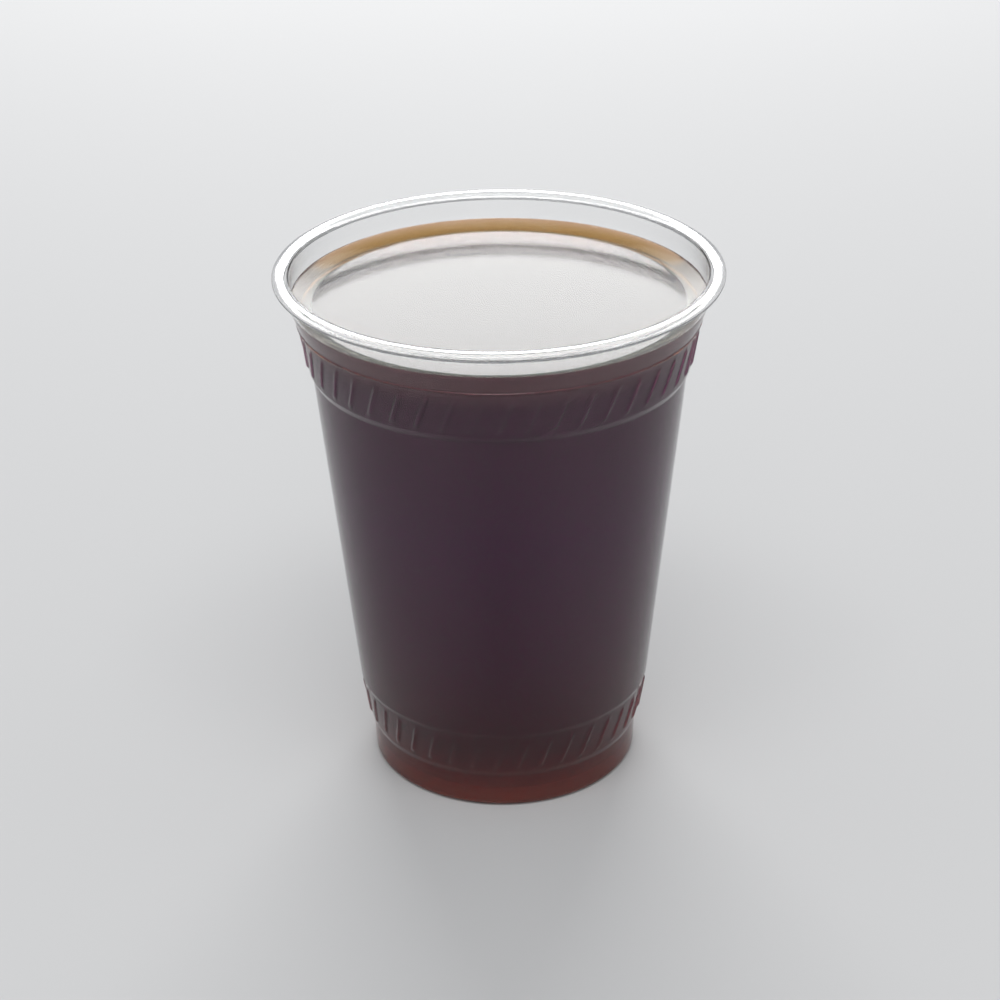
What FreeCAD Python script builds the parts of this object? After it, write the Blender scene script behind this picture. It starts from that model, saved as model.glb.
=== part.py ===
import FreeCAD, Part
import math
import os

# A clear cold-drink cup, formed from one plastic sheet, and the coffee in it.
# The cup stands on z = 0 with its axis on Z. All sizes are in millimetres.

Vector = FreeCAD.Vector
AXIS_POINT = Vector(0, 0, 0)
AXIS_DIRECTION = Vector(0, 0, 1)

# The sheet and the overall sizes
cup_height = 119.7
rim_radius = 49.0             # outside of the rolled lip
foot_radius = 30.5            # outside of the foot, at the ground
wall = 0.5                    # thickness of the formed sheet

# The rolled lip: the sheet turns outward, over and down, and stops short of the wall.
# The roll is pressed a little flat, so its section is an oval of four arcs.
roll_half_width = 1.8
roll_half_height = 1.15
roll_end_radius = 0.8         # of the two tight arcs, at the throat and at the outside
roll_sweep = 290.0            # degrees from the throat to the sheet's cut edge
throat_height = 4.55          # upright stretch below the middle of the roll

# The neck, the small shoulder under it, and the upper grip band between two creases
neck_height = 4.75
neck_flare = 1.65             # how far the neck leans out over its height
shoulder_height = 0.3
shoulder_step = 0.2           # how far the shoulder stands out from the neck's foot
upper_crease_height = 0.8
upper_crease_step = 0.85
upper_band_height = 9.95
upper_band_flare = 1.55
waist_crease_height = 1.6
waist_crease_step = 0.8

# The foot, and the lower grip band between its two creases
foot_height = 8.2
foot_flare = 0.28
heel_crease_height = 1.6
heel_crease_step = 0.64
lower_band_height = 9.8
lower_band_flare = 1.68
lower_crease_height = 1.2
lower_crease_step = 0.4

# The base: a panel pushed up inside a ring that the cup stands on
ring_width = 3.2              # ground ring, from the foot's outside to the skirt
skirt_lean = 1.4              # how far the skirt leans in on its way up
base_recess = 3.0             # underside of the panel above the ground

# Bend radii on the outside of the sheet; the grip bands' creases are sharp
throat_bend = 6.0
foot_bend = 1.3
panel_bend = 1.5

# Slanted grip ridges, pressed out of the sheet, so each has a flute behind it
ridge_height = 0.4
ridge_width = 1.7
crest_width = 0.6
ridge_end_slope = 0.9         # length over which a ridge's end fades into the band
ridge_inset = 0.7             # bare band between a crease and the end of a ridge
ridge_root = 0.25             # depth by which a ridge is rooted in the sheet
upper_ridge_count = 46
upper_ridge_lean = 5.2        # degrees round the axis from a ridge's foot to its top
upper_ridge_start = 4.9       # degrees round the axis from +X to the first ridge
lower_ridge_count = 39
lower_ridge_lean = 5.4
lower_ridge_start = 0.0

# The coffee
fill_below_rim = 8.3          # flat of the surface, down from the top of the cup
meniscus_rise = 1.95          # how far the surface climbs the wall
meniscus_width = 3.0
liquid_clearance = 0.1        # between the liquid and the inside of the cup


class Corner:
    """A corner of a side of the sheet: radius from the axis, height and bend radius."""

    def __init__(self, radius, height, bend=0):
        self.radius = radius
        self.height = height
        self.bend = bend

    def point(self):
        return Vector(self.radius, 0, self.height)


def left_of(direction):
    """The unit vector to the left of a direction in the XZ plane, towards the drink."""
    return Vector(-direction.z, 0, direction.x)


def directions(corners):
    """Unit vectors along the straight runs between neighbouring corners."""
    points = [corner.point() for corner in corners]
    return [(end - start).normalize() for start, end in zip(points, points[1:])]


def moved_in(corners, distance):
    """The side of the sheet that lies `distance` further in, parallel to this one."""
    runs = directions(corners)
    before = [runs[0]] + runs
    after = runs + [runs[-1]]
    moved = []
    for corner, arriving, leaving in zip(corners, before, after):
        normals = left_of(arriving) + left_of(leaving)
        shift = normals * (2 * distance / normals.dot(normals))
        turns_left = arriving.cross(leaving).y < 0
        bend = corner.bend - distance if turns_left else corner.bend + distance
        place = corner.point() + shift
        moved.append(Corner(place.x, place.z, bend if corner.bend else 0))
    return moved


def bent_edges(corners):
    """Straight runs, joined by an arc at each corner that has a bend."""
    runs = directions(corners)
    edges = []
    pen = corners[0].point()
    for corner, arriving, leaving in zip(corners[1:-1], runs, runs[1:]):
        turn = arriving.getAngle(leaving)
        tangent = corner.bend * math.tan(turn / 2)
        start = corner.point() - arriving * tangent
        end = corner.point() + leaving * tangent
        edges.append(Part.LineSegment(pen, start).toShape())
        if corner.bend:
            inward = (leaving - arriving).normalize()
            middle = corner.point() + inward * (corner.bend / math.cos(turn / 2) - corner.bend)
            edges.append(Part.Arc(start, middle, end).toShape())
        pen = end
    edges.append(Part.LineSegment(pen, corners[-1].point()).toShape())
    return edges


def turned(edges):
    """A solid of revolution from the closed outline that these edges make."""
    outline = Part.Wire(Part.sortEdges(edges)[0])
    return Part.Face(outline).revolve(AXIS_POINT, AXIS_DIRECTION, 360)


def outside_corners():
    """The outside of the sheet, from the middle of the base up to the roll."""
    standing = foot_radius - ring_width
    corners = [
        Corner(0, base_recess),
        Corner(standing - skirt_lean, base_recess, panel_bend),
        Corner(standing, 0, foot_bend),
        Corner(foot_radius, 0, foot_bend),
    ]

    def climb(height, step):
        last = corners[-1]
        corners.append(Corner(last.radius + step, last.height + height))

    climb(foot_height, foot_flare)
    climb(heel_crease_height, heel_crease_step)
    climb(lower_band_height, lower_band_flare)
    climb(lower_crease_height, lower_crease_step)

    throat_radius = rim_radius - 2 * roll_half_width + wall
    descent = [Corner(throat_radius, cup_height - roll_half_height)]

    def drop(height, step, bend=0):
        last = descent[-1]
        descent.append(Corner(last.radius - step, last.height - height, bend))

    drop(throat_height, 0, throat_bend)
    drop(neck_height, neck_flare)
    drop(shoulder_height, -shoulder_step)
    drop(upper_crease_height, upper_crease_step)
    drop(upper_band_height, upper_band_flare)
    drop(waist_crease_height, waist_crease_step)
    return corners + descent[::-1]


OUTSIDE = outside_corners()
INSIDE = moved_in(OUTSIDE, wall)

# The corners that bound each grip band, by their order up the outside
LOWER_BAND = (5, 6)
UPPER_BAND = (9, 10)


def rolled_lip_edges():
    """The two faces of the roll, and the cut edge of the sheet that closes it."""
    centre = Vector(rim_radius - roll_half_width, 0, cup_height - roll_half_height)
    reach = roll_half_width - roll_end_radius
    squared = reach ** 2 + roll_half_height ** 2 - roll_end_radius ** 2
    crown_radius = squared / (2 * (roll_half_height - roll_end_radius))
    offset = crown_radius - roll_half_height
    joint = math.degrees(math.atan2(offset, reach))
    arcs = [
        (Vector(-reach, 0, 0), roll_end_radius, 180, 180 - joint),
        (Vector(0, 0, -offset), crown_radius, 180 - joint, joint),
        (Vector(reach, 0, 0), roll_end_radius, joint, -joint),
        (Vector(0, 0, offset), crown_radius, -joint, 180 - roll_sweep),
    ]

    def on_arc(arc_centre, radius, degrees):
        angle = math.radians(degrees)
        return centre + arc_centre + Vector(radius * math.cos(angle), 0, radius * math.sin(angle))

    edges = []
    cut = []
    for depth in (wall, 0):
        for arc_centre, radius, first, last in arcs:
            angles = (first, (first + last) / 2, last)
            points = [on_arc(arc_centre, radius - depth, angle) for angle in angles]
            edges.append(Part.Arc(*points).toShape())
        cut.append(points[-1])
    edges.append(Part.LineSegment(*cut).toShape())
    return edges


def grip_ridge(low, high, lean, width, crest, root):
    """One slanted ridge on the cone between two corners, with faded ends.

    It stands `ridge_height` above the cone, is rooted `root` below it, and its
    top lies `lean` degrees round the axis from its foot.
    """
    run = (high.point() - low.point()).normalize()

    def on_cone(corner, along, degrees):
        place = corner.point() + run * along
        turn = math.radians(degrees)
        return Vector(place.x * math.cos(turn), place.x * math.sin(turn), place.z)

    foot = on_cone(low, ridge_inset, -lean / 2)
    top = on_cone(high, -ridge_inset, lean / 2)
    middle = (foot + top) / 2
    along = (top - foot).normalize()
    face_normal = left_of(run) * -1
    out = (face_normal - along * face_normal.dot(along)).normalize()
    across = along.cross(out)
    length = (top - foot).Length

    def ring(half_length, half_width, rise):
        signs = [(-1, -1), (1, -1), (1, 1), (-1, 1), (-1, -1)]
        level = middle + out * rise
        points = [level + along * (half_length * a) + across * (half_width * b) for a, b in signs]
        return Part.makePolygon(points)

    spread = (width - crest) / 2 / ridge_height
    end_spread = ridge_end_slope / ridge_height
    rooted = ring(length / 2 + end_spread * root, width / 2 + spread * root, -root)
    crested = ring(length / 2 - ridge_end_slope, crest / 2, ridge_height)
    return Part.makeLoft([rooted, crested], True, True)


def round_the_cup(shape, count, start):
    """Copies of a shape, evenly spaced round the axis, the first `start` degrees round."""
    step = 360 / count
    turns = [start + step * i for i in range(count)]
    return [shape.rotated(AXIS_POINT, AXIS_DIRECTION, turn) for turn in turns]


def cup():
    """The formed sheet: turned wall, base and lip, then the ridges and their flutes."""
    closing = Part.LineSegment(INSIDE[0].point(), OUTSIDE[0].point()).toShape()
    sides = bent_edges(OUTSIDE) + bent_edges(INSIDE)
    body = turned(sides + rolled_lip_edges() + [closing])

    flank = math.atan2(ridge_height, (ridge_width - crest_width) / 2)
    thinner = 2 * wall * math.tan(flank / 2)
    ridges = []
    flutes = []
    bands = [
        (LOWER_BAND, lower_ridge_lean, lower_ridge_count, lower_ridge_start),
        (UPPER_BAND, upper_ridge_lean, upper_ridge_count, upper_ridge_start),
    ]
    for (low, high), lean, count, start in bands:
        ridge = grip_ridge(OUTSIDE[low], OUTSIDE[high], lean, ridge_width, crest_width, ridge_root)
        flute = grip_ridge(
            INSIDE[low], INSIDE[high], lean, ridge_width - thinner, crest_width - thinner, ridge_root
        )
        ridges += round_the_cup(ridge, count, start)
        flutes += round_the_cup(flute, count, start)
    return body.multiFuse(ridges).cut(flutes).Solids


def coffee():
    """The liquid up to its level, with the surface climbing the wall all round."""
    side = moved_in(INSIDE, liquid_clearance)
    level = cup_height - fill_below_rim
    contact_height = level + meniscus_rise
    wetted = [corner for corner in side if corner.height < contact_height]
    below = wetted[-1]
    above = side[len(wetted)]
    share = (contact_height - below.height) / (above.height - below.height)
    contact_radius = below.radius + share * (above.radius - below.radius)
    wetted.append(Corner(contact_radius, contact_height))

    contact = wetted[-1].point()
    flat_edge = Vector(contact_radius - meniscus_width, 0, level)
    curve = (meniscus_width ** 2 + meniscus_rise ** 2) / (2 * meniscus_rise)
    half_turn = math.atan2(meniscus_rise, meniscus_width)
    middle = flat_edge + Vector(curve * math.sin(half_turn), 0, curve * (1 - math.cos(half_turn)))
    centre_top = Vector(0, 0, level)
    edges = bent_edges(wetted)
    edges.append(Part.Arc(contact, middle, flat_edge).toShape())
    edges.append(Part.LineSegment(flat_edge, centre_top).toShape())
    edges.append(Part.LineSegment(centre_top, wetted[0].point()).toShape())
    return turned(edges).Solids


os.makedirs("parts", exist_ok=True)
for node, solids in {"cup": cup(), "coffee": coffee()}.items():
    shape = solids[0]
    if len(solids) != 1 or not shape.isValid():
        raise ValueError(node + " is not one valid solid")
    shape.exportStep("parts/" + node + ".step")
    print(node, "volume", round(shape.Volume / 1000, 2), "ml, faces", len(shape.Faces))
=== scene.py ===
import math

import bpy
import bmesh
from mathutils import Matrix, Vector


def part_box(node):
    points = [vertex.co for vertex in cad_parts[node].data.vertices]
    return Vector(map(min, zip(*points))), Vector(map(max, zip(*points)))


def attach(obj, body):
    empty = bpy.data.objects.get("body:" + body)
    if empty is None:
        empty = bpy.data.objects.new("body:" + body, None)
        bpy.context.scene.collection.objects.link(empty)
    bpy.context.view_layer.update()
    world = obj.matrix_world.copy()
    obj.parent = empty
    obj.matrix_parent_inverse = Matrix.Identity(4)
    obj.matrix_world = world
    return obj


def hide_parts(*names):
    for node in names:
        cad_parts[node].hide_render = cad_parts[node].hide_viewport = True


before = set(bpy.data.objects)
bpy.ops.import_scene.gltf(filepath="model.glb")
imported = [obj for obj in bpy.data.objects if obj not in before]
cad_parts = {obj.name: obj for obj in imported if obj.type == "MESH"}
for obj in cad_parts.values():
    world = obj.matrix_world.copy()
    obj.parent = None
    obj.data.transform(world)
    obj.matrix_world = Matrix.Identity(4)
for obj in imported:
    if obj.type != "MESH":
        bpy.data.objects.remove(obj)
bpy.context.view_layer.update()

# ---------------------------------------------------------------------------
# The cup: one clear sheet of plastic, warmed and drawn down into a mould. Its
# lip is rolled over, two bands of slanted ridges stiffen it for the hand, and
# its base is pushed up inside the ring that it stands on.
# ---------------------------------------------------------------------------
# Sizes in metres
rim_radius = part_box("cup")[1][0]
cup_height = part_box("cup")[1][2]
foot_radius = 0.0305
sheet = 0.0005
roll_half_width = 0.0018
roll_half_height = 0.00115
roll_end_radius = 0.0008
roll_sweep = math.radians(290)

# Heights and steps of the wall, the throat to the waist from the lip down
throat_height = 0.00455
neck_height, neck_flare = 0.00475, 0.00165
shoulder_height, shoulder_step = 0.0003, 0.0002
upper_crease_height, upper_crease_step = 0.0008, 0.00085
upper_band_height, upper_band_flare = 0.00995, 0.00155
waist_crease_height, waist_crease_step = 0.0016, 0.0008

# and from the foot up
foot_height, foot_flare = 0.0082, 0.00028
heel_crease_height, heel_crease_step = 0.0016, 0.00064
lower_band_height, lower_band_flare = 0.0098, 0.00168
lower_crease_height, lower_crease_step = 0.0012, 0.0004

ring_width = 0.0032
skirt_lean = 0.0014
base_recess = 0.0030
crease_bend = 0.0003
throat_bend = 0.0060
foot_bend = 0.0013
panel_bend = 0.0015
tightest_bend = 0.0001

ridge_height = 0.0004
ridge_width = 0.0019
ridge_fade = 0.0012
ridge_inset = 0.0007

# How closely the sheet is divided
wall_columns = 288
ridge_columns = 5             # from a ridge's crest to its foot
gap_columns = 4               # between two ridges
plain_levels = 12             # up a long plain run
band_levels = 6               # up a band, between the faded ends of its ridges
long_run, long_margin = 0.01, 0.0004            # the margin is a level close to each end
short_run, short_margin = 0.0012, 0.0003
bend_step = math.radians(11)
fewest_bend_steps = 3
roll_steps = 10               # round each of the four arcs of the lip
hard_edge = math.radians(40)


class Band:
    """A grip band: how many ridges it has, how far they lean, and where the first one is."""

    def __init__(self, count, lean, start):
        self.count = count
        self.lean = math.radians(lean)
        self.start = math.radians(start)


upper_band = Band(46, 5.2, 4.9)
lower_band = Band(39, 5.4, 0)


class Corner:
    """A corner of one side of the sheet, and the band that runs up from it, if any."""

    def __init__(self, radius, height, bend, band=None):
        self.place = Vector((radius, height))
        self.bend = bend
        self.band = band


class Station:
    """A level on one side of the sheet: its place, the way out, and how far up a band it is."""

    def __init__(self, place, out=None, band=None, share=0.0, run=0.0):
        self.place = place
        self.out = out
        self.band = band
        self.share = share
        self.run = run


def outside_corners():
    """The outside of the sheet, from the middle of the base up to the start of the roll."""
    standing = foot_radius - ring_width
    corners = [
        Corner(0, base_recess, 0),
        Corner(standing - skirt_lean, base_recess, panel_bend),
        Corner(standing, 0, foot_bend),
        Corner(foot_radius, 0, foot_bend),
    ]

    def climb(height, step, band=None):
        radius, level = corners[-1].place
        corners.append(Corner(radius + step, level + height, crease_bend, band))

    climb(foot_height, foot_flare)
    climb(heel_crease_height, heel_crease_step, lower_band)
    climb(lower_band_height, lower_band_flare)
    climb(lower_crease_height, lower_crease_step)

    throat_radius = rim_radius - 2 * roll_half_width + sheet
    descent = [Corner(throat_radius, cup_height - roll_half_height, 0)]

    def drop(height, step, band=None, bend=crease_bend):
        radius, level = descent[-1].place
        descent.append(Corner(radius - step, level - height, bend, band))

    drop(throat_height, 0, bend=throat_bend)
    drop(neck_height, neck_flare)
    drop(shoulder_height, -shoulder_step)
    drop(upper_crease_height, upper_crease_step)
    drop(upper_band_height, upper_band_flare, upper_band)
    drop(waist_crease_height, waist_crease_step)
    return corners + descent[::-1]


def left_of(direction):
    """The way to the left of a direction in a section of the wall, towards the drink."""
    return Vector((-direction.y, direction.x))


def runs_of(corners):
    """Unit directions of the straight runs between corners."""
    return [(b.place - a.place).normalized() for a, b in zip(corners, corners[1:])]


def moved_in(corners, distance):
    """The side of the sheet that lies this much further in."""
    runs = runs_of(corners)
    moved = []
    for corner, arriving, leaving in zip(corners, [runs[0]] + runs, runs + [runs[-1]]):
        normals = left_of(arriving) + left_of(leaving)
        place = corner.place + normals * (2 * distance / normals.dot(normals))
        turns_left = left_of(arriving).dot(leaving) > 0
        bend = corner.bend + distance
        if turns_left:
            bend = max(corner.bend - distance, tightest_bend)
        moved.append(Corner(place.x, place.y, bend if corner.bend else 0, corner.band))
    return moved


def run_stations(start, end, band):
    """Levels along a straight run, close together near its ends so that shading stays true."""
    length = (end - start).length
    out = left_of((end - start).normalized()) * -1
    if band:
        fade_steps = [0, 0.25, 0.5, 0.75, 1]
        shares = [(ridge_inset + ridge_fade * f) / length for f in fade_steps]
        between = 1 - 2 * shares[-1]
        middles = [shares[-1] + between * i / band_levels for i in range(1, band_levels)]
        shares = [0] + shares + middles + [1 - s for s in shares[::-1]] + [1]
    elif length > long_run:
        margin = long_margin / length
        middles = [i / plain_levels for i in range(1, plain_levels)]
        shares = [0, margin] + middles + [1 - margin, 1]
    elif length > short_run:
        margin = short_margin / length
        shares = [0, margin, 1 - margin, 1]
    else:
        shares = [0, 1]
    return [Station(start.lerp(end, s), out, band, s, length) for s in shares]


def bend_stations(start, end, centre, out_sign, steps):
    """Levels round a bend, without its two ends."""
    first, last = start - centre, end - centre
    sweep = first.angle_signed(last)
    stations = []
    for i in range(1, steps):
        turned = first.copy()
        turned.rotate(Matrix.Rotation(-sweep * i / steps, 2))
        stations.append(Station(centre + turned, turned.normalized() * out_sign))
    return stations


def stations_of(corners):
    """All the levels on one side of the sheet, from its first corner to its last."""
    runs = runs_of(corners)
    pen = corners[0].place
    stations = []
    for number, corner in enumerate(corners[1:], 1):
        band = corners[number - 1].band
        if number == len(corners) - 1:
            stations += run_stations(pen, corner.place, band)
            break
        arriving, leaving = runs[number - 1], runs[number]
        turn = arriving.angle(leaving)
        reach = corner.bend * math.tan(turn / 2)
        start = corner.place - arriving * reach
        end = corner.place + leaving * reach
        stations += run_stations(pen, start, band)
        turns_left = left_of(arriving).dot(leaving) > 0
        side = left_of(arriving) * (1 if turns_left else -1)
        centre = start + side * corner.bend
        steps = max(fewest_bend_steps, round(turn / bend_step))
        stations += bend_stations(start, end, centre, 1 if turns_left else -1, steps)
        pen = end
    return stations


def roll_stations(depth):
    """Levels round the rolled lip at this depth in the sheet, from the throat to its cut edge."""
    centre = Vector((rim_radius - roll_half_width, cup_height - roll_half_height))
    reach = roll_half_width - roll_end_radius
    squared = reach ** 2 + roll_half_height ** 2 - roll_end_radius ** 2
    crown_radius = squared / (2 * (roll_half_height - roll_end_radius))
    offset = crown_radius - roll_half_height
    joint = math.atan2(offset, reach)
    arcs = [
        (Vector((-reach, 0)), roll_end_radius, math.pi, math.pi - joint),
        (Vector((0, -offset)), crown_radius, math.pi - joint, joint),
        (Vector((reach, 0)), roll_end_radius, joint, -joint),
        (Vector((0, offset)), crown_radius, -joint, math.pi - roll_sweep),
    ]
    stations = []
    for arc_centre, radius, first, last in arcs:
        for i in range(roll_steps):
            angle = first + (last - first) * i / roll_steps
            away = Vector((math.cos(angle), math.sin(angle))) * (radius - depth)
            stations.append(Station(centre + arc_centre + away))
    away = Vector((math.cos(last), math.sin(last))) * (radius - depth)
    stations.append(Station(centre + arc_centre + away))
    return stations


def smooth(share):
    """An even fade from 0 to 1."""
    share = min(max(share, 0), 1)
    return share * share * (3 - 2 * share)


def ring_of(station):
    """The vertices round one level, as (angle, place), ridges included."""
    ring = []
    if station.band is None:
        for i in range(wall_columns):
            angle = 2 * math.pi * i / wall_columns
            ring.append((angle, station.place.x, station.place.y))
        return ring
    band = station.band
    from_end = min(station.share, 1 - station.share) * station.run - ridge_inset
    rise = ridge_height * smooth(from_end / ridge_fade)
    pitch = 2 * math.pi / band.count
    half_ridge = ridge_width / 2 / station.place.x
    columns = range(-ridge_columns, ridge_columns + 1)
    across = [math.sin(math.pi / 2 * i / ridge_columns) for i in columns]
    gap = pitch - 2 * half_ridge
    bare = [half_ridge + gap * i / gap_columns for i in range(1, gap_columns)]
    offsets = [(half_ridge * a, 0.5 + 0.5 * math.cos(math.pi * a)) for a in across]
    offsets += [(b, 0) for b in bare]
    for number in range(band.count):
        middle = band.start + pitch * number + band.lean * (station.share - 0.5)
        for offset, height in offsets:
            place = station.place + station.out * (rise * height)
            ring.append((middle + offset, place.x, place.y))
    return ring


class Skin:
    """A closed surface of rings round the axis, built up one level at a time."""

    def __init__(self, start_height):
        self.mesh = bmesh.new()
        self.pole = self.mesh.verts.new((0, 0, start_height))
        self.last = None

    def level(self, ring):
        verts = [self.mesh.verts.new((r * math.cos(a), r * math.sin(a), z)) for a, r, z in ring]
        new = [(a, v) for (a, _, _), v in zip(ring, verts)]
        if self.last is None:
            for i in range(len(new)):
                self.mesh.faces.new((self.pole, new[i - 1][1], new[i][1]))
        elif len(self.last) == len(new):
            for i in range(len(new)):
                corners = (self.last[i - 1][1], self.last[i][1], new[i][1], new[i - 1][1])
                self.mesh.faces.new(corners)
        else:
            self.stitch(self.last, new)
        self.last = new

    def stitch(self, below, above):
        """Triangles between two rings with different numbers of vertices."""
        i = j = 0
        whole = 2 * math.pi
        count_a, count_b = len(below), len(above)
        while i < count_a or j < count_b:
            here_a, here_b = below[i % count_a][1], above[j % count_b][1]
            next_a = below[(i + 1) % count_a][0] + whole * ((i + 1) // count_a)
            next_b = above[(j + 1) % count_b][0] + whole * ((j + 1) // count_b)
            if j >= count_b or (i < count_a and next_a <= next_b):
                self.mesh.faces.new((here_a, below[(i + 1) % count_a][1], here_b))
                i += 1
            else:
                self.mesh.faces.new((here_a, above[(j + 1) % count_b][1], here_b))
                j += 1

    def close(self, end_height):
        pole = self.mesh.verts.new((0, 0, end_height))
        for i in range(len(self.last)):
            self.mesh.faces.new((self.last[i - 1][1], pole, self.last[i][1]))

    def piece(self, name):
        bmesh.ops.recalc_face_normals(self.mesh, faces=self.mesh.faces)
        for edge in self.mesh.edges:
            edge.smooth = edge.calc_face_angle() < hard_edge
        data = bpy.data.meshes.new(name)
        self.mesh.to_mesh(data)
        self.mesh.free()
        data.shade_smooth()
        made = bpy.data.objects.new(name, data)
        bpy.context.scene.collection.objects.link(made)
        return made


def clear_plastic():
    """Clear formed plastic: glossy, with the faint waves and draw lines of a stretched sheet."""
    material = bpy.data.materials.new("clear_plastic")
    material.use_nodes = True
    nodes, links = material.node_tree.nodes, material.node_tree.links
    shader = nodes["Principled BSDF"]
    shader.inputs["Base Color"].default_value = (1, 1, 1, 1)
    shader.inputs["Transmission Weight"].default_value = 1.0
    shader.inputs["IOR"].default_value = 1.38
    shader.inputs["Specular IOR Level"].default_value = 0.33

    place = nodes.new("ShaderNodeTexCoord")
    stretch = nodes.new("ShaderNodeMapping")
    stretch.inputs["Scale"].default_value = (1, 1, 0.18)
    links.new(place.outputs["Object"], stretch.inputs["Vector"])

    waves = nodes.new("ShaderNodeTexNoise")
    waves.inputs["Scale"].default_value = 70
    waves.inputs["Detail"].default_value = 2
    links.new(stretch.outputs["Vector"], waves.inputs["Vector"])

    bump = nodes.new("ShaderNodeBump")
    bump.inputs["Strength"].default_value = 0.12
    bump.inputs["Distance"].default_value = 0.0006
    links.new(waves.outputs["Fac"], bump.inputs["Height"])
    links.new(bump.outputs["Normal"], shader.inputs["Normal"])

    haze = nodes.new("ShaderNodeTexNoise")
    haze.inputs["Scale"].default_value = 45
    haze.inputs["Detail"].default_value = 3
    links.new(place.outputs["Object"], haze.inputs["Vector"])
    rough = nodes.new("ShaderNodeMapRange")
    rough.inputs["To Min"].default_value = 0.02
    rough.inputs["To Max"].default_value = 0.05
    links.new(haze.outputs["Fac"], rough.inputs["Value"])
    links.new(rough.outputs["Result"], shader.inputs["Roughness"])
    return material


def trimmed_edge():
    """The cut edge of the sheet, whitened by the knife."""
    material = bpy.data.materials.new("trimmed_edge")
    material.use_nodes = True
    nodes, links = material.node_tree.nodes, material.node_tree.links
    shader = nodes["Principled BSDF"]
    shader.inputs["Roughness"].default_value = 0.5
    place = nodes.new("ShaderNodeTexCoord")
    nicks = nodes.new("ShaderNodeTexNoise")
    nicks.inputs["Scale"].default_value = 400
    links.new(place.outputs["Object"], nicks.inputs["Vector"])
    shade = nodes.new("ShaderNodeValToRGB")
    shade.color_ramp.elements[0].color = (0.80, 0.81, 0.83, 1)
    shade.color_ramp.elements[1].color = (0.95, 0.95, 0.95, 1)
    links.new(nicks.outputs["Fac"], shade.inputs["Fac"])
    links.new(shade.outputs["Color"], shader.inputs["Base Color"])
    return material


outside = outside_corners()
inside = moved_in(outside, sheet)
skin = Skin(outside[0].place.y)
up_and_round = stations_of(outside)[1:] + roll_stations(sheet)[1:]
back_and_down = roll_stations(0)[::-1] + stations_of(inside)[::-1][1:-1]
for station in up_and_round:
    skin.level(ring_of(station))
faces_before_cut = len(skin.mesh.faces)
skin.level(ring_of(back_and_down[0]))
skin.mesh.faces.ensure_lookup_table()
for face in skin.mesh.faces[faces_before_cut:]:
    face.material_index = 1
for station in back_and_down[1:]:
    skin.level(ring_of(station))
skin.close(inside[0].place.y)
cup = skin.piece("cup_sheet")
cup.data.materials.append(clear_plastic())
cup.data.materials.append(trimmed_edge())
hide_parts("cup")
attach(cup, "root")

# ---------------------------------------------------------------------------
# The coffee: cold brew up to its level, dark in bulk and amber where it is
# thin. Its surface is still and flat, and it climbs the wall a little all
# round. Its sides reach just into the sheet, so no air shows between them.
# ---------------------------------------------------------------------------
fill_level = 0.1117
climb_height = 0.00165
climb_width = 0.0045
climb_power = 1.35            # near 1 the climb is a straight slope, at 2 it is a hollow curve
climb_levels = 24
climb_crowding = 0.8          # below 1, the levels lie closer together near the flat
flat_shares = (0.99, 0.8, 0.5, 0.2)
edge_step = 0.0001            # the last level of the side lies this far below the edge
wall_start = 3                # the corner at the foot, past the base and the ring

# Against the wall: colour, and the share of light let in, by height above the ground. Both ramps
# paint light: the plum cast is partly the coffee's red-brown and partly painted reflection of a
# bluish room; the redder, less clear foot is painted light through the thin coffee there; towards
# the top it is paler and less clear, which paints in more light.
stops_top = 0.12
tint_and_painted_light_stops = [
    (0.001, (0.80, 0.17, 0.11)),
    (0.008, (0.74, 0.08, 0.08)),
    (0.022, (0.66, 0.06, 0.20)),
    (0.040, (0.66, 0.05, 0.36)),
    (0.070, (0.68, 0.06, 0.52)),
    (0.104, (0.76, 0.17, 0.52)),
    (0.109, (0.92, 0.44, 0.54)),
]
clearness_and_painted_light_stops = [
    (0.001, 0.78),
    (0.008, 0.86),
    (0.016, 0.94),
    (0.105, 0.94),
    (0.109, 0.85),
]

# and on its open surface, on the flat and where it climbs the wall. The flat's dark brown is
# partly the coffee's own and partly painted shade that holds back the light let through the flat;
# the climb's pale amber is painted backlight, deepening the amber that the absorption already
# gives the thin edge.
flat_shade_tint = (0.45, 0.22, 0.12)
climb_painted_amber = (0.99, 0.93, 0.41)
surface_clearness = 0.97
climb_painted_amber_from, climb_painted_amber_full = 0.000003, 0.00004      # heights above the flat

# The open surface is what looks upward this much and isn't lower than this below the flat
upward_from, upward_full = 0.5, 0.7
open_margin = 0.0002


def radius_at(corners, height):
    """How far the wall is from the axis at this height, between two of its corners."""
    for low, high in zip(corners[wall_start:], corners[wall_start + 1:]):
        if low.place.y <= height <= high.place.y:
            share = (height - low.place.y) / (high.place.y - low.place.y)
            return low.place.lerp(high.place, share).x


def ramp_by_height(nodes, stops):
    """A ramp with a colour at each height, up to the top of the stops."""
    ramp = nodes.new("ShaderNodeValToRGB")
    for spot, colour in stops:
        stop = ramp.color_ramp.elements.new(spot / stops_top)
        stop.color = (*colour, 1)
    ramp.color_ramp.elements.remove(ramp.color_ramp.elements[0])
    ramp.color_ramp.elements.remove(ramp.color_ramp.elements[-1])
    return ramp


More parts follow.
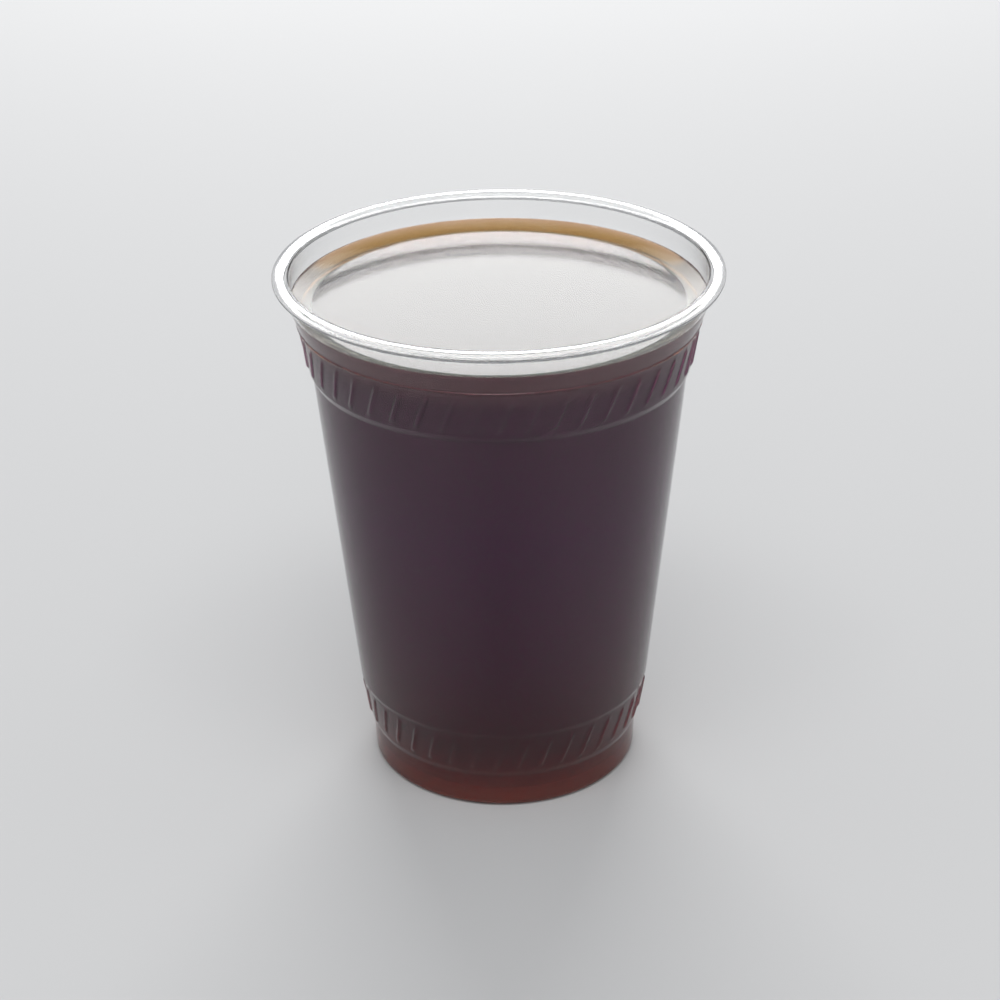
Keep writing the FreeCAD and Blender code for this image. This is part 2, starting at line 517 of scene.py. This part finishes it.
def cold_brew():
    """Dark coffee: clear amber in a thin layer, near black in the mass; its plum cast is partly
    its own red-brown and partly painted reflection of a bluish room.
    """
    material = bpy.data.materials.new("cold_brew")
    material.use_nodes = True
    nodes, links = material.node_tree.nodes, material.node_tree.links
    shader = nodes["Principled BSDF"]
    shader.inputs["Roughness"].default_value = 0.14
    shader.inputs["IOR"].default_value = 1.34

    place = nodes.new("ShaderNodeTexCoord")
    height = nodes.new("ShaderNodeSeparateXYZ")
    links.new(place.outputs["Object"], height.inputs["Vector"])
    level = nodes.new("ShaderNodeMapRange")
    level.inputs["From Max"].default_value = stops_top
    links.new(height.outputs["Z"], level.inputs["Value"])

    # The wall colour and its share of diffuse light change with height: painted light, not a
    # change in the coffee.
    tint = ramp_by_height(nodes, tint_and_painted_light_stops)
    links.new(level.outputs["Result"], tint.inputs["Fac"])
    clearness = ramp_by_height(nodes, [(spot, (share,) * 3) for spot, share in clearness_and_painted_light_stops])
    links.new(level.outputs["Result"], clearness.inputs["Fac"])

    facing = nodes.new("ShaderNodeSeparateXYZ")
    links.new(place.outputs["Normal"], facing.inputs["Vector"])
    upward = nodes.new("ShaderNodeMapRange")
    upward.inputs["From Min"].default_value = upward_from
    upward.inputs["From Max"].default_value = upward_full
    links.new(facing.outputs["Z"], upward.inputs["Value"])
    above = nodes.new("ShaderNodeMath")
    above.operation = "GREATER_THAN"
    above.inputs[1].default_value = fill_level - open_margin
    links.new(height.outputs["Z"], above.inputs[0])
    in_open = nodes.new("ShaderNodeMath")
    in_open.operation = "MULTIPLY"
    links.new(upward.outputs["Result"], in_open.inputs[0])
    links.new(above.outputs["Value"], in_open.inputs[1])

    # Painted shade on the flat and painted amber on the climb, blended by height above the flat.
    climbing = nodes.new("ShaderNodeMapRange")
    climbing.inputs["From Min"].default_value = fill_level + climb_painted_amber_from
    climbing.inputs["From Max"].default_value = fill_level + climb_painted_amber_full
    links.new(height.outputs["Z"], climbing.inputs["Value"])
    surface = nodes.new("ShaderNodeMix")
    surface.data_type = "RGBA"
    surface.inputs["A"].default_value = (*flat_shade_tint, 1)
    surface.inputs["B"].default_value = (*climb_painted_amber, 1)
    links.new(climbing.outputs["Result"], surface.inputs["Factor"])

    colour = nodes.new("ShaderNodeMix")
    colour.data_type = "RGBA"
    links.new(in_open.outputs["Value"], colour.inputs["Factor"])
    links.new(tint.outputs["Color"], colour.inputs["A"])
    links.new(surface.outputs["Result"], colour.inputs["B"])
    links.new(colour.outputs["Result"], shader.inputs["Base Color"])

    let_in = nodes.new("ShaderNodeMix")
    let_in.inputs["B"].default_value = surface_clearness
    links.new(in_open.outputs["Value"], let_in.inputs["Factor"])
    links.new(clearness.outputs["Color"], let_in.inputs["A"])
    links.new(let_in.outputs["Result"], shader.inputs["Transmission Weight"])

    depth = nodes.new("ShaderNodeVolumeAbsorption")
    depth.inputs["Color"].default_value = (0.78, 0.69, 0.25, 1)
    depth.inputs["Density"].default_value = 720
    links.new(depth.outputs["Volume"], nodes["Material Output"].inputs["Volume"])
    return material


wetted = moved_in(outside, sheet / 2)
contact_height = fill_level + climb_height
side_height = contact_height - edge_step
side = [s for s in stations_of(wetted)[1:] if s.place.y < side_height]
side.append(Station(Vector((radius_at(wetted, side_height), side_height))))
contact_radius = radius_at(inside, contact_height)
edge = [
    Station(Vector((radius_at(wetted, contact_height), contact_height))),
    Station(Vector((contact_radius, contact_height))),
]
surface = []
for i in range(1, climb_levels + 1):
    left = 1 - (i / climb_levels) ** climb_crowding
    place = Vector((
        contact_radius - climb_width * (1 - left),
        fill_level + climb_height * left ** climb_power,
    ))
    surface.append(Station(place, None))
for share in flat_shares:
    surface.append(Station(Vector(((contact_radius - climb_width) * share, fill_level))))

liquid = Skin(wetted[0].place.y)
for station in side + edge + surface:
    liquid.level(ring_of(station))
liquid.close(fill_level)
coffee = liquid.piece("coffee_fill")
coffee.data.materials.append(cold_brew())
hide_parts("coffee")
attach(coffee, "root")

# ---------------------------------------------------------------------------
# The floor: a plain pale matt sheet that runs on behind the cup. The cup stands
# on it by the ring under its foot.
# ---------------------------------------------------------------------------
floor_size = 8.0

bpy.ops.mesh.primitive_plane_add(size=floor_size, location=(0, 0, 0))
floor = bpy.context.object
floor.name = "floor"
floor_paint = bpy.data.materials.new("floor_paint")
floor_paint.use_nodes = True
floor_shader = floor_paint.node_tree.nodes["Principled BSDF"]
floor_shader.inputs["Base Color"].default_value = (0.60, 0.60, 0.60, 1)
floor_shader.inputs["Roughness"].default_value = 0.9
floor_shader.inputs["Specular IOR Level"].default_value = 0.1
floor.data.materials.append(floor_paint)

# ---------------------------------------------------------------------------
# The light: a broad window behind the cup, a skylight and a soft lamp in front,
# and a pale room all round.
# ---------------------------------------------------------------------------
world = bpy.data.worlds.new("pale_room")
bpy.context.scene.world = world
world.use_nodes = True
world.node_tree.nodes["Background"].inputs["Color"].default_value = (0.9, 0.92, 0.95, 1)
world.node_tree.nodes["Background"].inputs["Strength"].default_value = 0.5


def panel(name, place, aim, width, height, radiance):
    """A soft rectangular light that faces a point."""
    lamp = bpy.data.lights.new(name, "AREA")
    lamp.shape = "RECTANGLE"
    lamp.size = width
    lamp.size_y = height
    lamp.energy = radiance * math.pi * width * height
    made = bpy.data.objects.new(name, lamp)
    made.location = place
    made.rotation_euler = (aim - place).to_track_quat("-Z", "Y").to_euler()
    made.visible_camera = False
    bpy.context.scene.collection.objects.link(made)


lamp_reach = 1.35
brim = Vector((0, 0, cup_height))


def on_arc(degrees):
    """A place on the arc over the cup: 0 is level behind its brim, 180 level in front."""
    turn = math.radians(degrees)
    return brim + lamp_reach * Vector((0, math.cos(turn), math.sin(turn)))


panel("window", on_arc(27), brim, width=0.95, height=0.50, radiance=6.6)
panel("window_head", on_arc(43), brim, width=0.95, height=0.25, radiance=3.5)
panel("skylight", on_arc(112), brim, width=1.1, height=0.45, radiance=4.0)
panel("softbox", on_arc(150), brim, width=0.8, height=1.1, radiance=1.2)

# ---------------------------------------------------------------------------
# The camera: a long lens in front of the cup, looking down on its rim.
# ---------------------------------------------------------------------------
camera_distance = 0.545
camera_elevation = math.radians(27.374)
camera_roll = math.radians(-0.774)
swing_centre = Vector((0, 0, 0.060))
aim_at = Vector((-0.0004, 0, 0.0625))

lens = bpy.data.cameras.new("camera")
lens.lens = 86.38
lens.sensor_width = 36
lens.clip_start = 0.01
camera = bpy.data.objects.new("camera", lens)
away = Vector((0, -math.cos(camera_elevation), math.sin(camera_elevation)))
camera.location = swing_centre + away * camera_distance
look = (aim_at - camera.location).to_track_quat("-Z", "Y").to_matrix().to_4x4()
camera.rotation_euler = (look @ Matrix.Rotation(camera_roll, 4, "Z")).to_euler()
bpy.context.scene.collection.objects.link(camera)
bpy.context.scene.camera = camera

bpy.context.scene.view_settings.view_transform = "Standard"
